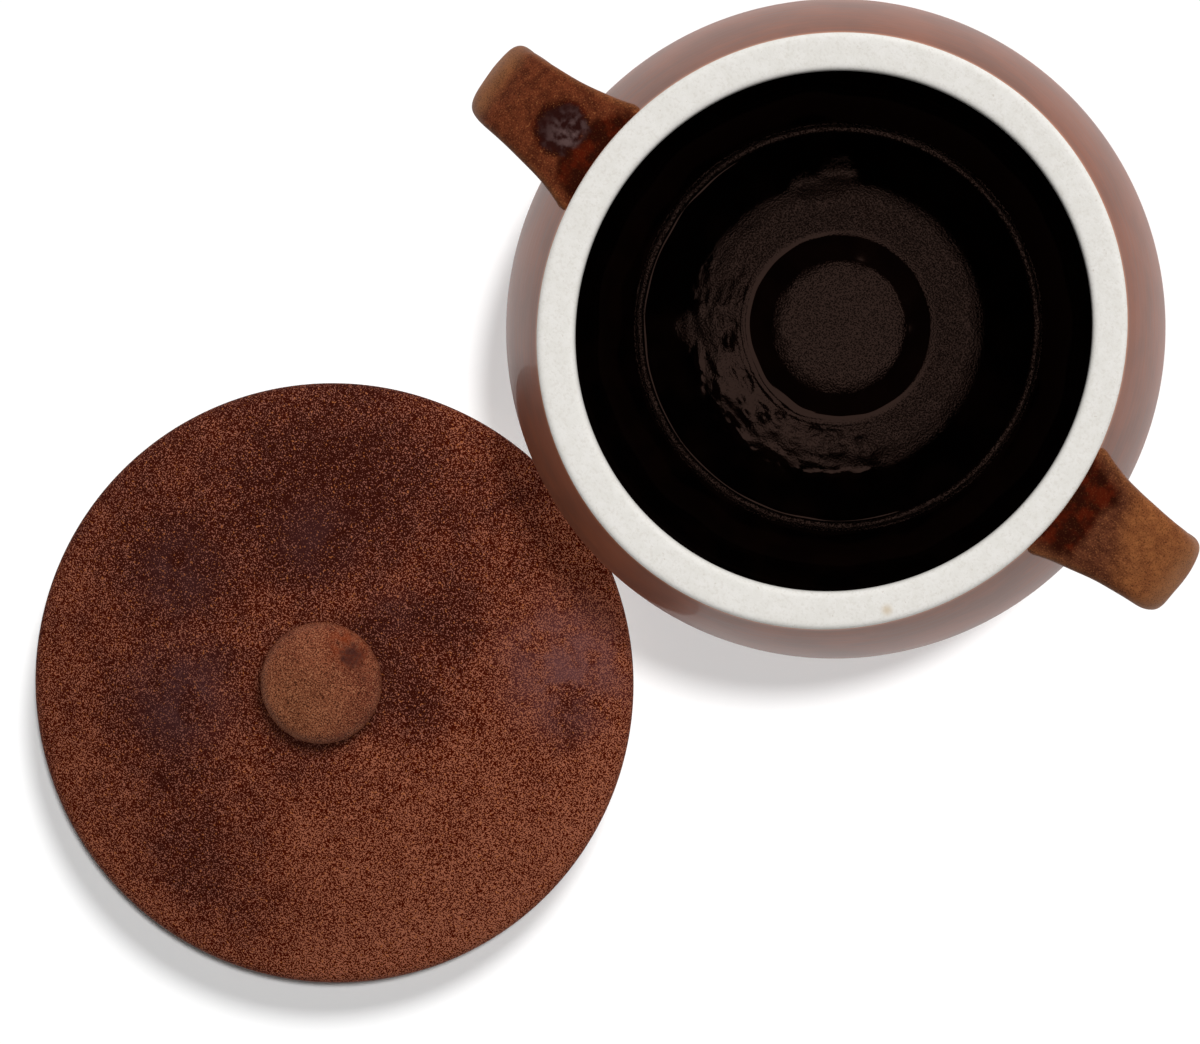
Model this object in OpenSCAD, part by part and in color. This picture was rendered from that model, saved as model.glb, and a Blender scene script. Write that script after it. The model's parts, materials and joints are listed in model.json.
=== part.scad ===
// Stoneware crock with two ear handles and a loose domed lid, in millimetres.
// The crock stands on z = 0 with its axis on +Z and its handles along X.
// Every piece is a separate piece of clay: a thrown crock, two pulled straps, a thrown lid and a turned knob.

/* [Crock] */
// Height of the rim above the table
crock_h = 134; // [118:1:150]
// Diameter of the belly at its widest
belly_d = 174; // [164:1:186]
// Height of the belly's widest place
belly_z = 68; // [56:1:78]
// Diameter of the mouth
mouth_d = 131; // [122:1:138]
// Width of the flat rim round the mouth
rim_w = 9.5; // [7:0.5:12]
// Depth of the upright band just inside the mouth
mouth_band = 5; // [3:0.5:9]
// Radius on both edges of the rim
rim_round = 1.5; // [0.5:0.25:2.5]
// Thickness of the wall at the belly
wall_t = 8; // [6:0.5:11]
// Diameter of the foot
foot_d = 118; // [104:1:128]
// Width of the ring that the crock stands on
foot_ring_w = 9; // [6:0.5:14]
// Bevel turned round the outside of the foot
foot_bevel = 2.5; // [1:0.5:4]
// Depth of the hollow inside the foot ring
foot_hollow = 3; // [1:0.5:5]

/* [Floor inside] */
// Thickness of the base, from the hollow to the lowest place of the floor
base_t = 8; // [6:0.5:11]
// Diameter of the low boss in the middle
boss_d = 33; // [22:1:42]
// Height of the boss
boss_h = 2; // [1:0.25:3.5]
// Width of the slope round the boss
boss_slope_w = 9; // [5:0.5:12]
// Width of the flat ring round the slope
moat_w = 12.5; // [8:0.5:15]
// Width of the sloping bank between the flat ring and the wall
bank_w = 16.5; // [12:0.5:19]
// Height of the bank
bank_h = 8; // [5:0.5:11]

/* [Handles] */
// Width of the strap away from its roots
strap_w = 21; // [17:0.5:28]
// Thickness of the strap
strap_t = 10; // [7:0.5:12]
// Width of the upper root, pressed on to the wall
root_w = 30.5; // [25:0.5:38]
// Width of the lower root
low_root_w = 23; // [19:0.5:30]
// Thickness of both roots
root_t = 14; // [11:0.5:17]
// Distance over which a root thins to the strap
root_run = 13; // [7:0.5:18]
// Depth of the upper root's middle below the rim
handle_drop = 10; // [9:0.5:16]
// Height of the loop between the middles of its two roots
handle_h = 44; // [38:1:52]
// Distance that the handle stands out from the belly
handle_reach = 23.5; // [20:0.5:30]
// Squareness of the loop, where 1 is a half ellipse and less is squarer
handle_square = 0.7; // [0.55:0.05:1]
// Direction of the hand-set left handle, in degrees from +X
left_angle = 178.9; // [175:0.1:185]

/* [Lid] */
// Diameter of the lid
lid_d = 167; // [154:1:178]
// Thickness of the lid's round edge
lid_edge_t = 8; // [5:0.5:11]
// Height that the dome rises above the edge
lid_rise = 15; // [9:0.5:24]
// Thickness of the dome
lid_t = 7; // [5:0.5:9]
// Depth of the flange that drops into the mouth
flange_h = 12; // [7:0.5:18]
// Thickness of the flange
flange_t = 6; // [4:0.5:9]
// Play between the flange and the mouth, all round
flange_play = 1.2; // [0.6:0.1:2.5]

/* [Knob] */
// Diameter of the knob's head
knob_d = 33; // [27:1:42]
// Diameter of the knob's neck
neck_d = 22; // [15:0.5:24]
// Height of the knob
knob_h = 24; // [19:0.5:32]
// Thickness of the head's round edge
knob_edge_t = 10; // [6:0.5:12]
// Height that the head's top is domed
knob_rise = 2; // [0.5:0.25:4]
// Distance from the lid's middle to the hand-set knob
knob_shift = 3; // [0:0.5:5]
// Direction of that shift, in degrees from +X
knob_angle = 113; // [0:1:359]
// Width of the flat land that shows round the neck
land_margin = 1.5; // [0.5:0.25:4]

/* [Lid's place] */
// Where the lid is: on the table beside the crock, or on the rim
lid_place = "beside"; // [beside, seated]
// Free space between the belly and the lid on the table
lid_gap = 0.8; // [0.5:0.1:60]
// Direction of the lid on the table, in degrees from +X
lid_angle = 251; // [215:0.5:325]

/* [Hidden] */
$fn = 96;
// Steps in a long curve, in a short one and along a handle, and sides of a strap's section
long_steps = 9;
short_steps = 4;
strap_steps = 36;
strap_sides = 20;
// Roundness of a strap's section, where 1 is an ellipse and less is squarer
strap_square = 0.62;

belly_r = belly_d / 2;
mouth_r = mouth_d / 2;
rim_r = mouth_r + rim_w;
foot_r = foot_d / 2;
rim_edge_z = crock_h - rim_round;
foot_inner_r = foot_r - foot_bevel - foot_ring_w;

floor_z = foot_hollow + base_t;
boss_r = boss_d / 2;
moat_in_r = boss_r + boss_slope_w;
moat_out_r = moat_in_r + moat_w;
bank_r = moat_out_r + bank_w;

handle_mid_z = crock_h - handle_drop - handle_h / 2;
handle_out_r = belly_r + handle_reach - strap_t / 2;

lid_r = lid_d / 2;
lid_edge_r = lid_edge_t / 2;
flange_r = mouth_r - flange_play;
flange_in_r = flange_r - flange_t;
flange_round = flange_t / 3;
nose_r = lid_r - lid_edge_r;
dome_turn = dome_angle(nose_r, lid_rise);
dome_r = nose_r / sin(dome_turn) + lid_edge_r;
dome_z = flange_h + lid_edge_t + lid_rise - dome_r;
neck_r = neck_d / 2;
land_r = neck_r + knob_shift + land_margin;
land_z = dome_z + sqrt(dome_r * dome_r - land_r * land_r);

lid_reach = belly_r + lid_gap + lid_r;
beside = [lid_reach * cos(lid_angle), lid_reach * sin(lid_angle), 0];
lid_at = lid_place == "seated" ? [0, 0, crock_h - flange_h] : beside;
knob_at = lid_at + [knob_shift * cos(knob_angle), knob_shift * sin(knob_angle), land_z];

// The same points from last to first
function flip(points) = [for (i = [len(points) - 1 : -1 : 0]) points[i]];

// Radius of the arc that is upright at one end and draws in by s over a height h
function draw_in_r(s, h) = (h * h + s * s) / (2 * s);

// Points of the arc that is upright at [r0, z0] and draws in to [r1, z1]
function draw_in(r0, z0, r1, z1) =
    let (s = r0 - r1)
    let (h = z1 - z0)
    let (radius = draw_in_r(s, h))
    let (turn = 2 * atan2(s, abs(h)))
    [for (i = [0 : long_steps])
        let (a = turn * i / long_steps)
        [r0 - radius + radius * cos(a), z0 + sign(h) * radius * sin(a)]];

// Points of an arc of one radius about [r, z], from one angle to another
function arc(r, z, radius, from, to, steps) =
    [for (i = [0 : steps])
        let (a = from + (to - from) * i / steps)
        [r + radius * cos(a), z + radius * sin(a)]];

// Slope at the foot of a dome that rises by a height over a round edge centred at r
function dome_angle(r, rise) = 2 * atan2(rise, r);

// Outside of the crock, from the foot up to the rim
outside = concat(
    [[foot_r - foot_bevel, 0]],
    flip(draw_in(belly_r, belly_z, foot_r, foot_bevel)),
    draw_in(belly_r, belly_z, rim_r, rim_edge_z),
    arc(rim_r - rim_round, rim_edge_z, rim_round, 0, 90, short_steps)
);

// Inside of the crock, from the rim down to the middle of the floor
inside = concat(
    arc(mouth_r + rim_round, rim_edge_z, rim_round, 90, 180, short_steps),
    flip(draw_in(belly_r - wall_t, belly_z, mouth_r, crock_h - mouth_band)),
    draw_in(belly_r - wall_t, belly_z, bank_r, floor_z + bank_h),
    [[moat_out_r, floor_z], [moat_in_r, floor_z], [boss_r, floor_z + boss_h], [0, floor_z + boss_h]]
);

// Underside of the base: the hollow and the inner edge of the foot ring
underside = [[0, foot_hollow], [foot_inner_r - foot_hollow, foot_hollow], [foot_inner_r, 0]];

// A shape turned on the wheel from its half outline
module turned(outline)
{
    rotate_extrude() polygon(outline);
}

module crock_body()
{
    color("#7a5748") turned(concat(underside, outside, inside));
}

// Radius of the crock's outside at a height between the belly and the rim
function shoulder_r(z) =
    let (radius = draw_in_r(belly_r - rim_r, rim_edge_z - belly_z))
    belly_r - radius + sqrt(radius * radius - pow(z - belly_z, 2));

// A power that keeps the sign of its base
function bulge(x, power) = sign(x) * pow(abs(x), power);

// Middle of the strap at an angle from 90 at the upper root to -90 at the lower one
function strap_mid(a) = [
    rim_r + (handle_out_r - rim_r) * bulge(cos(a), handle_square),
    handle_mid_z + handle_h / 2 * bulge(sin(a), handle_square)
];

// Share of the root's extra clay at a point of the strap, fading away from the wall
function root_share(mid) = exp(-max(0, mid[0] - shoulder_r(mid[1])) / root_run);

// One section of the strap, square to its run
function strap_ring(a) =
    let (step = 90 / strap_steps)
    let (run = strap_mid(max(-90, a - step)) - strap_mid(min(90, a + step)))
    let (along = run / norm(run))
    let (mid = strap_mid(a))
    let (share = root_share(mid))
    let (near_w = low_root_w + (root_w - low_root_w) * (1 + sin(a)) / 2)
    let (half_w = (strap_w + (near_w - strap_w) * share) / 2)
    let (half_t = (strap_t + (root_t - strap_t) * share) / 2)
    [for (k = [0 : strap_sides - 1])
        let (turn = 360 * k / strap_sides)
        let (v = half_t * bulge(sin(turn), strap_square))
        [mid[0] - along[1] * v, half_w * bulge(cos(turn), strap_square), mid[1] + along[0] * v]];

// The whole strap, with both ends inside the crock's outline
module strap()
{
    rings = [for (i = [0 : strap_steps]) strap_ring(90 - 180 * i / strap_steps)];
    points = [for (ring = rings) each ring];
    side_faces = [for (i = [0 : strap_steps - 1], k = [0 : strap_sides - 1])
        let (a = i * strap_sides + k)
        let (b = i * strap_sides + (k + 1) % strap_sides)
        each [[a, b, b + strap_sides], [a, b + strap_sides, a + strap_sides]]];
    first_end = [for (k = [strap_sides - 1 : -1 : 0]) k];
    last_end = [for (k = [0 : strap_sides - 1]) strap_steps * strap_sides + k];
    polyhedron(points, concat(side_faces, [first_end, last_end]));
}

// A strap cut to the crock's outside, so that both roots seat on the wall
module ear_handle()
{
    difference() {
        strap();
        turned(concat([[0, 0]], outside, [[0, crock_h]]));
    }
}

module right_handle()
{
    color("#5f3120") ear_handle();
}

module left_handle()
{
    color("#5f3120") rotate(left_angle) ear_handle();
}

// Half outline of the lid, from the middle of its underside round to the knob's land
module lid()
{
    inner_dome_r = dome_r - lid_t;
    inner_turn = asin(flange_in_r / inner_dome_r);
    flange_edge_r = flange_r - flange_round;
    flange_inner_edge_r = flange_in_r + flange_round;
    outline = concat(
        arc(0, dome_z, inner_dome_r, 90, 90 - inner_turn, long_steps),
        arc(flange_inner_edge_r, flange_round, flange_round, 180, 270, short_steps),
        arc(flange_edge_r, flange_round, flange_round, 270, 360, short_steps),
        [[flange_r, flange_h]],
        arc(nose_r, flange_h + lid_edge_r, lid_edge_r, -90, 90 - dome_turn, long_steps),
        flip(arc(0, dome_z, dome_r, 90 - asin(land_r / dome_r), 90 - dome_turn, long_steps)),
        [[0, land_z]]
    );
    color("#5c2d1e") translate(lid_at) turned(outline);
}

// Half outline of the knob: a coved neck under a head with a round edge and a low dome
module lid_knob()
{
    edge_r = knob_edge_t / 2;
    head_r = knob_d / 2 - edge_r;
    neck_h = knob_h - knob_edge_t - knob_rise;
    turn = dome_angle(head_r, knob_rise);
    top_r = head_r / sin(turn) + edge_r;
    outline = concat(
        [[0, 0]],
        [for (i = [0 : short_steps])
            let (a = 90 * i / short_steps)
            [neck_r + (head_r - neck_r) * (1 - cos(a)), neck_h * sin(a)]],
        arc(head_r, neck_h + edge_r, edge_r, -90, 90 - turn, long_steps),
        flip(arc(0, knob_h - top_r, top_r, 90, 90 - turn, short_steps))
    );
    color("#71422c") translate(knob_at) turned(outline);
}

crock_body();
left_handle();
right_handle();
lid();
lid_knob();
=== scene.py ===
# %% [markdown]
# The pot on the table is five pieces of fired clay: a thrown crock, two pulled handles, a thrown lid and
# its knob. Their true shapes were worked out in CAD and arrive here as a frame, in metres. Everything
# could be modelled again by eye, but then nothing would fit, so each piece below starts from the frame.

# %% The frame
import json
import math

import bpy
import numpy as np
from mathutils import Matrix, Vector

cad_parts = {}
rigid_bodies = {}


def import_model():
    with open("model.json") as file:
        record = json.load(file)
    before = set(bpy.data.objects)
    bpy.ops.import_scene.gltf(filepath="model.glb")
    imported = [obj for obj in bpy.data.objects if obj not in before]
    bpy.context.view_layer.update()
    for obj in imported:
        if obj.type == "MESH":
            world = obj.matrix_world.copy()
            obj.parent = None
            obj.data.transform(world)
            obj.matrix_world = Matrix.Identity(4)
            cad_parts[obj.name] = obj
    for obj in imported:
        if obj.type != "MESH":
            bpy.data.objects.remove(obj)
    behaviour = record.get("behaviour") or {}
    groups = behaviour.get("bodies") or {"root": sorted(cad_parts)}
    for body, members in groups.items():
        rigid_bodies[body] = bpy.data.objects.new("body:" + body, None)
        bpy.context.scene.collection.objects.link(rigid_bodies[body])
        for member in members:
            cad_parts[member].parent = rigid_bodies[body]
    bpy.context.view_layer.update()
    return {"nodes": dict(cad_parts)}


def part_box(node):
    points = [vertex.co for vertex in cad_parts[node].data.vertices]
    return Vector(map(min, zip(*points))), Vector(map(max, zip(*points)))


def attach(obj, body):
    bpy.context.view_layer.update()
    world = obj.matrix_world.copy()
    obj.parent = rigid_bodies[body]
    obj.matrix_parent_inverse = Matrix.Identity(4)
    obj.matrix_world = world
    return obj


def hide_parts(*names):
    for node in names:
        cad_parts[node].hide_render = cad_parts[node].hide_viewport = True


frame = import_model()
scene = bpy.context.scene
scene.view_settings.view_transform = "Standard"
print("frame:", ", ".join(sorted(frame["nodes"])))

# %% [markdown]
# The photograph was taken from almost straight above with a long lens. A camera can be placed by eye, but
# four measurements give it exactly: upright edges all point at the pixel that lies plumb under the
# camera, the middle of the rim has a pixel, the rim's width gives the distance, and the handles give the
# roll.

# %% Camera
PHOTO_W = 1200
PHOTO_H = 1044
SENSOR_MM = 36
FOCAL_PX = 5144
PLUMB_PX = (919, 279)
RIM_MIDDLE_PX = (830.9, 331.8)
RIM_PX_PER_M = 3957
ROLL = math.radians(35.8)
UP = Vector((0, 0, 1))


def pixel_ray(pixel):
    """Direction through a pixel of the photo, in the camera's own axes."""
    return Vector((pixel[0] - PHOTO_W / 2, PHOTO_H / 2 - pixel[1], -FOCAL_PX)).normalized()


level = pixel_ray(PLUMB_PX).rotation_difference(-UP).to_matrix()
aim = Matrix.Rotation(ROLL, 3, "Z") @ level
RIM_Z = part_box("crock_body")[1].z
rim_ray = aim @ pixel_ray(RIM_MIDDLE_PX)
eye = UP * RIM_Z + rim_ray * (FOCAL_PX / RIM_PX_PER_M / rim_ray.z)


def spot_at(pixel, height):
    """The place at a height above the table that shows at a pixel of the photo."""
    ray = aim @ pixel_ray(pixel)
    return eye + ray * ((height - eye.z) / ray.z)


camera = bpy.data.objects.new("camera", bpy.data.cameras.new("camera"))
camera.data.sensor_width = SENSOR_MM
camera.data.lens = FOCAL_PX / PHOTO_W * SENSOR_MM
camera.matrix_world = Matrix.Translation(eye) @ aim.to_4x4()
scene.collection.objects.link(camera)
scene.camera = camera
print(f"camera: {eye.z:.3f} m up, lens {camera.data.lens:.1f} mm")

# %% [markdown]
# A finish is a small program of shader nodes. Linking nodes one by one is slow to read, so one small
# class wraps a socket and lets plain Python do the sums: adding two wires adds a Math node. Colours and
# vectors have nodes of their own, because a Math node would turn a colour grey.

# %% Wires
class Wire:
    """One output socket of a node tree, for use in Python expressions."""

    def __init__(self, tree, socket=None):
        self.tree = tree
        self.socket = socket

    def node(self, kind, settings=None, sockets=None, out=0):
        """Add a node, set it up, plug in its sockets and return one of its outputs."""
        made = self.tree.nodes.new("ShaderNode" + kind)
        for name, value in (settings or {}).items():
            setattr(made, name, value)
        plug(made, sockets or {})
        return Wire(self.tree, made.outputs[out])

    def also(self, out):
        """Another output of the node that this wire comes from."""
        return Wire(self.tree, self.socket.node.outputs[out])

    def math(self, operation, *values):
        """A Math node on numbers or wires."""
        return self.node("Math", {"operation": operation}, dict(enumerate(values)))

    def vector(self, operation, other=(0, 0, 0), out=0):
        """A Vector Math node on this wire and another vector."""
        return self.node("VectorMath", {"operation": operation}, {0: self, 1: other}, out=out)

    def __add__(self, other):
        return self.math("ADD", self, other)

    def __radd__(self, other):
        return self.math("ADD", other, self)

    def __sub__(self, other):
        return self.math("SUBTRACT", self, other)

    def __rsub__(self, other):
        return self.math("SUBTRACT", other, self)

    def __mul__(self, other):
        return self.math("MULTIPLY", self, other)

    def __rmul__(self, other):
        return self.math("MULTIPLY", other, self)


def plug(node, sockets):
    """Give each socket of a node its value, or a link from a wire."""
    for name, value in sockets.items():
        if isinstance(value, Wire):
            node.id_data.links.new(value.socket, node.inputs[name])
        else:
            node.inputs[name].default_value = value


print("wires: sums with +, - and * on sockets")

# %% [markdown]
# The studio is a white sweep in soft light. In the photo the lid's shadow falls further than the lid is
# high, and the crock's falls much less, so no single lamp gives both. Two lamps do, and how far a shadow
# reaches in the photo sets the slope of its lamp. The lid blocks both lamps, the crock and the knob block
# only the second, and the handles block neither, because they throw no shadow in the photo.

# %% Studio light
FILL_BRIGHT = 0.08
FILL_DIM = 0.01
FILL_FROM = math.radians(275)


def seen_directly(wire):
    """1 for camera, mirror and glass rays, 0 for the rays that carry light."""
    path = wire.node("LightPath", out="Is Camera Ray")
    mirrored = path.math("MAXIMUM", path.also("Is Glossy Ray"), path.also("Is Transmission Ray"))
    return path.math("MAXIMUM", path, mirrored)


world = bpy.data.worlds.new("studio")
world.use_nodes = True
scene.world = world
air = Wire(world.node_tree)
sky_way = air.node("TexCoord", out="Generated")
bright_way = Matrix.Rotation(FILL_FROM, 3, "Z") @ Vector((1, 0, 1)).normalized()
towards_bright = sky_way.vector("DOT_PRODUCT", bright_way, "Value")
fill = FILL_DIM + (FILL_BRIGHT - FILL_DIM) * (0.5 + 0.5 * towards_bright)
soft_fill = air.node("Background", sockets={"Color": (1, 1, 1, 1), "Strength": fill})
white_wall = air.node("Background", sockets={"Color": (1, 1, 1, 1), "Strength": 1})
shown = air.node("MixShader", sockets={0: seen_directly(air), 1: soft_fill, 2: white_wall})
plug(world.node_tree.nodes["World Output"], {"Surface": shown})
print(f"studio: fill from {FILL_DIM} to {FILL_BRIGHT}")

# %% Paper
FLOOR_HALF = 6.0
FLOOR_Z = -0.0003
PAPER_WHITE = (0.99, 0.99, 0.99, 1)

floor_mesh = bpy.data.meshes.new("paper")
corners = [(-1, -1), (1, -1), (1, 1), (-1, 1)]
floor_mesh.from_pydata([(x * FLOOR_HALF, y * FLOOR_HALF, FLOOR_Z) for x, y in corners], [], [(0, 1, 2, 3)])
floor = bpy.data.objects.new("paper", floor_mesh)
scene.collection.objects.link(floor)

paper = bpy.data.materials.new("paper")
paper.use_nodes = True
paper_looks = {"Base Color": PAPER_WHITE, "Roughness": 1, "Specular IOR Level": 0}
plug(paper.node_tree.nodes["Principled BSDF"], paper_looks)
floor_mesh.materials.append(paper)
print(f"paper: {2 * FLOOR_HALF:.0f} m wide")

# %% Lamps
LID_EDGE_Z = 0.0135
BELLY_EDGE_Z = 0.068
LID_SHADOW_PX = (-17, 36)
CROCK_SHADOW_PX = (-42, 47)
LID_LAMP_SPREAD = math.radians(15)
CROCK_LAMP_SPREAD = math.radians(5)
LAMP_LEVEL = 0.497


def soft_lamp(name, shadow_px, edge_z, spread):
    """A lamp that throws the shadow of an edge so many pixels away in the photo, and what throws it."""
    shadow_at = (PLUMB_PX[0] + shadow_px[0], PLUMB_PX[1] + shadow_px[1])
    beam = (spot_at(shadow_at, 0) - spot_at(PLUMB_PX, 0) - UP * edge_z).normalized()
    lamp = bpy.data.objects.new(name, bpy.data.lights.new(name, "SUN"))
    lamp.data.energy = LAMP_LEVEL * math.pi / -beam.z
    lamp.data.angle = spread
    lamp.rotation_euler = beam.to_track_quat("-Z", "Y").to_euler()
    lamp.visible_glossy = False
    scene.collection.objects.link(lamp)
    lamp.light_linking.blocker_collection = bpy.data.collections.new(name + "_shadows")
    print(f"{name}: {math.degrees(math.acos(-beam.z)):.0f} degrees off plumb")
    return lamp.light_linking.blocker_collection.objects


lid_shadows = soft_lamp("lid_lamp", LID_SHADOW_PX, LID_EDGE_Z, LID_LAMP_SPREAD)
crock_shadows = soft_lamp("crock_lamp", CROCK_SHADOW_PX, BELLY_EDGE_Z, CROCK_LAMP_SPREAD)

# %% [markdown]
# Thrown pots are turned shapes, so all that matters is the half outline. The CAD mesh already holds it:
# every vertex has a radius and a height, and the mesh edges join neighbours into one chain. Reading the
# chain back keeps the fit exact, and then the curve can be drawn much finer than the CAD facets.

# %% Half outlines from the frame
SAME_SPOT = 0.00005


def middle_of(node):
    """Axis of a turned node, seen from above."""
    low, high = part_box(node)
    return Vector(((low.x + high.x) / 2, (low.y + high.y) / 2, 0))


def half_outline(node):
    """Radius and height along a turned node's half section, from its underside to its top or inside."""
    axis = middle_of(node)
    mesh = frame["nodes"][node].data
    spots = []
    spot_of = []
    for vertex in mesh.vertices:
        here = Vector(((vertex.co - axis).xy.length, vertex.co.z))
        known = [i for i, spot in enumerate(spots) if (spot - here).length < SAME_SPOT]
        if not known:
            spots.append(here)
        spot_of.append(known[0] if known else len(spots) - 1)
    joined = [set() for spot in spots]
    for edge in mesh.edges:
        a, b = (spot_of[i] for i in edge.vertices)
        if a != b:
            joined[a].add(b)
            joined[b].add(a)
    ends = [i for i, near in enumerate(joined) if len(near) == 1]
    chain = [min(ends, key=lambda i: spots[i].y)]
    while joined[chain[-1]] - set(chain):
        chain.append((joined[chain[-1]] - set(chain)).pop())
    outline = np.array([spots[i] for i in chain])
    on_axis = outline[[0, -1]] * (0, 1)
    return np.vstack([on_axis[:1], outline[outline[:, 0] > SAME_SPOT], on_axis[1:]])


outlines = {node: half_outline(node) for node in ("crock_body", "lid", "lid_knob")}
for node, outline in outlines.items():
    print(node, "outline:", len(outline), "points, out to", round(outline[:, 0].max(), 4), "m")

# %% [markdown]
# The CAD curves are made of short straight chords, which would show as bands in a mirror glaze. A smooth
# curve through the same points hides them. Catmull-Rom is the simplest curve that passes through its
# points, and its centripetal form doesn't swing out where short and long chords meet. True creases are
# kept.

# %% A finer curve
CREASE = math.radians(8)
STRAIGHT = math.radians(0.5)
SHORT_CHORD = 0.002
FINE_STEP = 0.0002


def bends(outline):
    """How far the outline turns at each of its inner points."""
    heading = np.arctan2(*np.diff(outline, axis=0).T[::-1])
    return abs((np.diff(heading) + math.pi) % math.tau - math.pi)


def curve_between(before, start, end, after, count):
    """Points of a centripetal Catmull-Rom curve from start up to end."""
    knots = [before, start, end, after]
    t0, t1, t2, t3 = np.cumsum([0] + [math.dist(a, b) ** 0.5 for a, b in zip(knots, knots[1:])])
    t = np.linspace(t1, t2, count, endpoint=False)[:, None]
    a1 = ((t1 - t) * before + (t - t0) * start) / (t1 - t0)
    a2 = ((t2 - t) * start + (t - t1) * end) / (t2 - t1)
    a3 = ((t3 - t) * end + (t - t2) * after) / (t3 - t2)
    b1 = ((t2 - t) * a1 + (t - t0) * a2) / (t2 - t0)
    b2 = ((t3 - t) * a2 + (t - t1) * a3) / (t3 - t1)
    return ((t2 - t) * b1 + (t - t1) * b2) / (t2 - t1)


def drawn_finer(outline):
    """A smooth close-set curve through an outline, with its creases kept sharp."""
    bent = np.concatenate([[True], bends(outline) > STRAIGHT, [True]])
    outline = outline[bent]
    lengths = np.linalg.norm(np.diff(outline, axis=0), axis=1)
    crease = np.zeros(len(outline), bool)
    crease[1:-1] = (bends(outline) > CREASE) & (np.minimum(lengths[:-1], lengths[1:]) > SHORT_CHORD)
    mirrored = np.vstack([outline[1] * (-1, 1), outline, outline[-2] * (-1, 1)])
    fine = []
    for i, (start, end) in enumerate(zip(outline, outline[1:])):
        before = 2 * start - end if crease[i] else mirrored[i]
        after = 2 * end - start if crease[i + 1] else mirrored[i + 3]
        fine.extend(curve_between(before, start, end, after, math.ceil(lengths[i] / FINE_STEP)))
    return np.array(fine + [outline[-1]])


fine_outlines = {node: drawn_finer(outline) for node, outline in outlines.items()}
print("finer outlines:", {node: len(outline) for node, outline in fine_outlines.items()})

# %% [markdown]
# A mesh needs many rings where the glaze shows fine detail and few where it doesn't. Spacing the rings by
# a wanted distance at each place keeps the mesh light. The rings are then joined into faces, with a fan
# of triangles on the axis. Numbers come as arrays, because a loop over every vertex would be slow.

# %% Rings along an outline
TURNS = 320
ANGLES = np.arange(TURNS) * (math.tau / TURNS)


def spaced(outline, spacing):
    """The outline again, with its points about as far apart as the spacing at each place."""
    lengths = np.linalg.norm(np.diff(outline, axis=0), axis=1)
    count = np.concatenate([[0], np.cumsum(lengths / ((spacing[1:] + spacing[:-1]) / 2))])
    wanted = np.linspace(0, count[-1], math.ceil(count[-1]) + 1)
    return np.column_stack([np.interp(wanted, count, outline[:, i]) for i in (0, 1)])


def worn(outline, amount):
    """The outline with its creases rounded, by averaging each point with its neighbours."""
    for turn in range(amount):
        outline[1:-1] = (outline[:-2] + 2 * outline[1:-1] + outline[2:]) / 4
    return outline


def turned_grid(outline, angles=ANGLES):
    """Radius, height and angle of every point of a turned surface, as three arrays."""
    shape = (len(outline), len(angles))
    radius, height = (np.broadcast_to(outline[:, i : i + 1], shape).copy() for i in (0, 1))
    return radius, height, np.broadcast_to(angles, shape)


def grid_points(radius, height, angle, axis):
    """Places of the grid's points, round an upright axis."""
    return np.stack([axis.x + radius * np.cos(angle), axis.y + radius * np.sin(angle), height], axis=-1)


print(f"rings: {TURNS} points on each")


# %% Closing a turned piece
def new_piece(name, points, faces):
    """A smooth-shaded mesh object in the scene."""
    mesh = bpy.data.meshes.new(name)
    mesh.from_pydata(points, [], faces)
    mesh.shade_smooth()
    piece = bpy.data.objects.new(name, mesh)
    scene.collection.objects.link(piece)
    return piece


def turned_piece(name, grid, zones, finishes):
    """A closed turned piece, with a finish for each zone of its rings."""
    rings, turns = grid.shape[:2]
    points = np.vstack([grid[0, :1], grid[1:-1].reshape(-1, 3), grid[-1, :1]])
    here = np.arange(turns)
    after = (here + 1) % turns
    starts = 1 + turns * np.arange(rings - 3)[:, None]
    quads = np.stack([starts + here, starts + after, starts + turns + after, starts + turns + here], axis=-1)
    low_fan = np.column_stack([np.zeros(turns, int), 1 + after, 1 + here])
    top = 1 + turns * (rings - 3)
    top_fan = np.column_stack([top + here, top + after, np.full(turns, len(points) - 1)])
    piece = new_piece(name, points, low_fan.tolist() + quads.reshape(-1, 4).tolist() + top_fan.tolist())
    for finish in finishes:
        piece.data.materials.append(finish)
    piece.data.polygons.foreach_set("material_index", np.repeat(zones[:-1], turns).astype(np.int32))
    print(f"{name}: {rings} rings, {len(piece.data.polygons)} faces")
    return piece


print("turned pieces: rings of quads, with a fan of triangles at each end")

# %% [markdown]
# All the finishes below are mixed from a few tools: a colour, cloudy noise, a soft step, a spot, a mix of
# two colours and a bump. Ready-made textures exist, but these few are easier to steer. They read the
# place of a point in the frame, so a finish stays on its piece when the piece moves.

# %% Tools for finishes
def srgb(red, green, blue):
    """A colour as read off the photo, turned into the linear values that shaders use."""
    parts = [c / 255 for c in (red, green, blue)]
    return (*(c / 12.92 if c <= 0.04045 else ((c + 0.055) / 1.055) ** 2.4 for c in parts), 1)


def new_finish(name, constants):
    """A material, its main shader and a wire to start from. Constants go on the shader's own sockets."""
    material = bpy.data.materials.new(name)
    material.use_nodes = True
    shader = material.node_tree.nodes["Principled BSDF"]
    plug(shader, constants)
    return material, shader, Wire(material.node_tree)


def place(wire):
    """Where a point lies in the frame. It stays with the piece when the piece moves."""
    return wire.node("TexCoord", out="Object")


def noise(at, size, detail=2.0):
    """Cloudy noise from 0 to 1 with features of about one size, in metres."""
    return at.node("TexNoise", sockets={"Vector": at, "Scale": 1 / size, "Detail": detail})


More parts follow.
